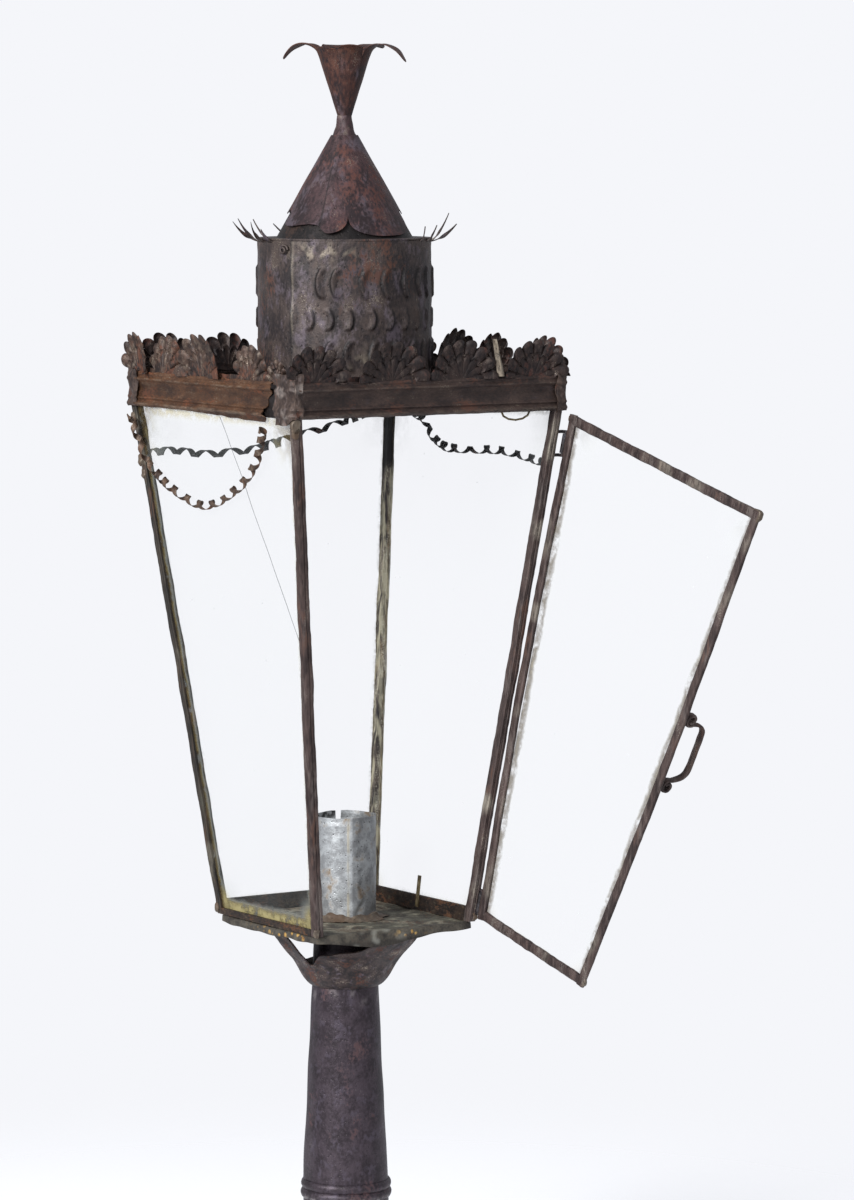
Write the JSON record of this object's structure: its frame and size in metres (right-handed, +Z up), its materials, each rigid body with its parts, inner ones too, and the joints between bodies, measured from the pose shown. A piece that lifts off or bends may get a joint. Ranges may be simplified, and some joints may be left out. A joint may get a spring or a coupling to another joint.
{
  "type": "candle lantern",
  "caption": "Square tapered tin and glass candle lantern on a pole socket, with a hinged glass door, cornice, chimney drum and cone with a tulip finial.",
  "frame": {"origin": "centre of the pole sleeve's mouth, the lowest point of the lantern's axis", "axes": "+Z up along the lantern's axis; the door is on the -Y side and hangs on the (+X, -Y) corner post"},
  "size_m": [0.204, 0.3755, 0.7655],
  "materials": {
    "rusty_tin": "dark brown rusted tinned sheet iron, matt with worn bright edges",
    "cornice_tin": "red-brown rusted sheet iron, matt",
    "post_tin": "dark rusted folded tin with pale flaking patches",
    "ferrule_tin": "purple-brown rusted sheet iron, faint hammered texture",
    "socket_tin": "grey tinned sheet with rust and wax stains",
    "solder": "dull grey solder",
    "dark_wire": "blackened iron wire",
    "pane_glass": "clear old glass with grime along its edges"
  },
  "bodies": {
    "lantern": {"pole_sleeve": "ferrule_tin", "ferrule_cone": "ferrule_tin", "bead_band": "ferrule_tin", "calyx_collar": "rusty_tin", "base_plate": "rusty_tin", "candle_socket": "socket_tin", "socket_solder": "solder", "post_back": "post_tin", "post_left": "post_tin", "post_front": "post_tin", "post_hinge": "post_tin", "pane_clip": "rusty_tin", "roof_plate": "rusty_tin", "chimney_drum": "rusty_tin", "drum_rivet": "rusty_tin", "chimney_spikes": "rusty_tin", "chimney_top": "rusty_tin", "vent_cone": "rusty_tin", "cone_cap": "rusty_tin", "apex_collar": "solder", "tulip_finial": "rusty_tin", "garland_right": "dark_wire", "garland_back": "dark_wire", "garland_left": "cornice_tin", "wire_tie": "dark_wire", "hinge_staple_upper": "dark_wire", "hinge_staple_lower": "dark_wire", "top_rail_right": "post_tin", "cornice_right": "cornice_tin", "crest_right": "cornice_tin", "top_rail_back": "post_tin", "cornice_back": "cornice_tin", "crest_back": "cornice_tin", "top_rail_left": "post_tin", "cornice_left": "cornice_tin", "crest_left": "cornice_tin", "top_rail_door": "post_tin", "cornice_door": "cornice_tin", "crest_door": "cornice_tin", "bottom_rail_right": "post_tin", "pane_right": "pane_glass", "bottom_rail_back": "post_tin", "pane_back": "pane_glass", "bottom_rail_left": "post_tin", "pane_left": "pane_glass", "gusset_back": "solder", "gusset_left": "solder", "gusset_front": "solder", "gusset_hinge": "solder"},
    "door": {"door_hinge_stile": "post_tin", "door_free_stile": "post_tin", "door_bottom_rail": "post_tin", "door_top_rail": "post_tin", "door_pane": "pane_glass", "door_solder": "solder", "door_handle": "post_tin", "hinge_knuckle_upper": "post_tin", "hinge_knuckle_lower": "post_tin"}
  },
  "joints": [
    {"name": "door_hinge", "type": "hinge", "parent": "lantern", "child": "door", "pos_m": [0.0557, -0.0592, 0.24], "axis": [0.134, -0.1181, 0.9839], "range_deg": [-93, 77]}
  ]
}
